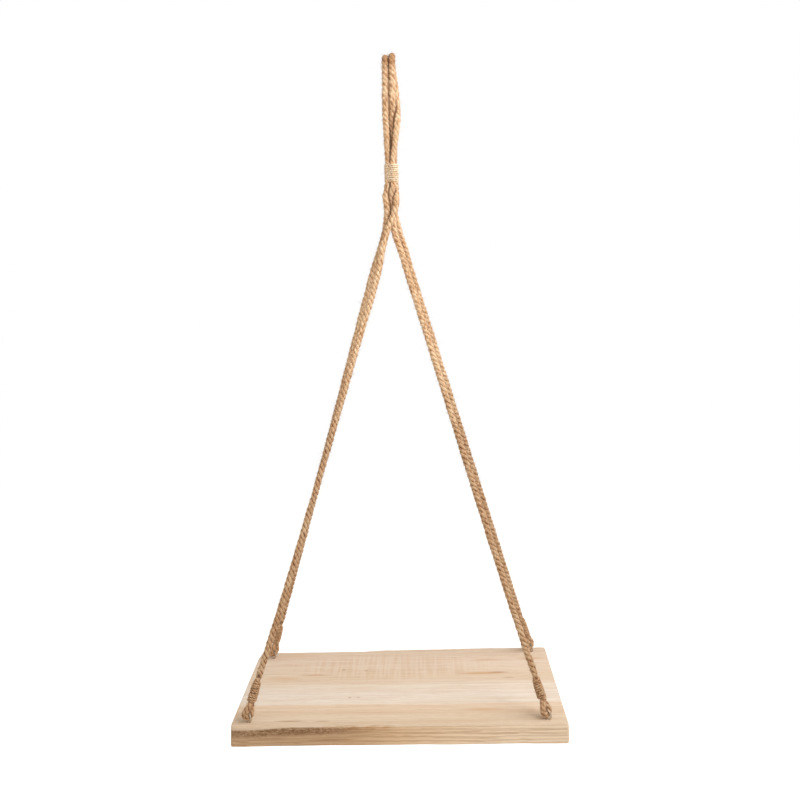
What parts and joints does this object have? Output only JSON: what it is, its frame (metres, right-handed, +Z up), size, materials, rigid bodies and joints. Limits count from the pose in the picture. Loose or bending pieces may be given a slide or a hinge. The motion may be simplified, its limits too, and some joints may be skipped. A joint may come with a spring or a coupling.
{
  "type": "hanging rope shelf",
  "caption": "Hanging shelf: a wooden board slung level from a whipped rope loop by ropes tied to screw eyes at its corners.",
  "frame": {"origin": "the hook seat: the point between the two ropes where the top of the hook's rod carries the loop", "axes": "+X along the board to the right, +Y towards its back, +Z up"},
  "size_m": [0.4, 0.25, 0.819],
  "materials": {
    "wood": "matte",
    "rope": "matte",
    "twine": "matte",
    "steel": "satin"
  },
  "bodies": {
    "crown": {"crown_front_rope": "rope", "crown_rear_rope": "rope"},
    "loop": {"loop_run_front_left": "rope", "loop_run_front_right": "rope", "loop_run_rear_left": "rope", "loop_run_rear_right": "rope"},
    "throat": {"whipping_loop": "twine", "throat_run_front_left": "rope", "throat_run_front_right": "rope", "throat_run_rear_left": "rope", "throat_run_rear_right": "rope"},
    "shelf": {"board": "wood", "leg_front_left": "rope", "leg_front_right": "rope", "leg_rear_left": "rope", "leg_rear_right": "rope", "whipping_front_left": "twine", "whipping_front_right": "twine", "whipping_rear_left": "twine", "whipping_rear_right": "twine", "screw_eye_front_left": "steel", "screw_eye_front_right": "steel", "screw_eye_rear_left": "steel", "screw_eye_rear_right": "steel"}
  },
  "joints": [
    {"name": "swing_on_hook", "type": "hinge", "parent": "crown", "child": "loop", "pos_m": [0, 0, -0.004], "axis": [1, 0, 0], "range_deg": [-25, 25]},
    {"name": "sway_at_whipping", "type": "hinge", "parent": "loop", "child": "throat", "pos_m": [0, 0, -0.121], "axis": [0.342, 0.9397, 0], "range_deg": [-12, 12]},
    {"name": "turn_below_whipping", "type": "hinge", "parent": "throat", "child": "shelf", "pos_m": [0, 0, -0.15], "axis": [0, 0, 1], "range_deg": [-40, 40]}
  ]
}
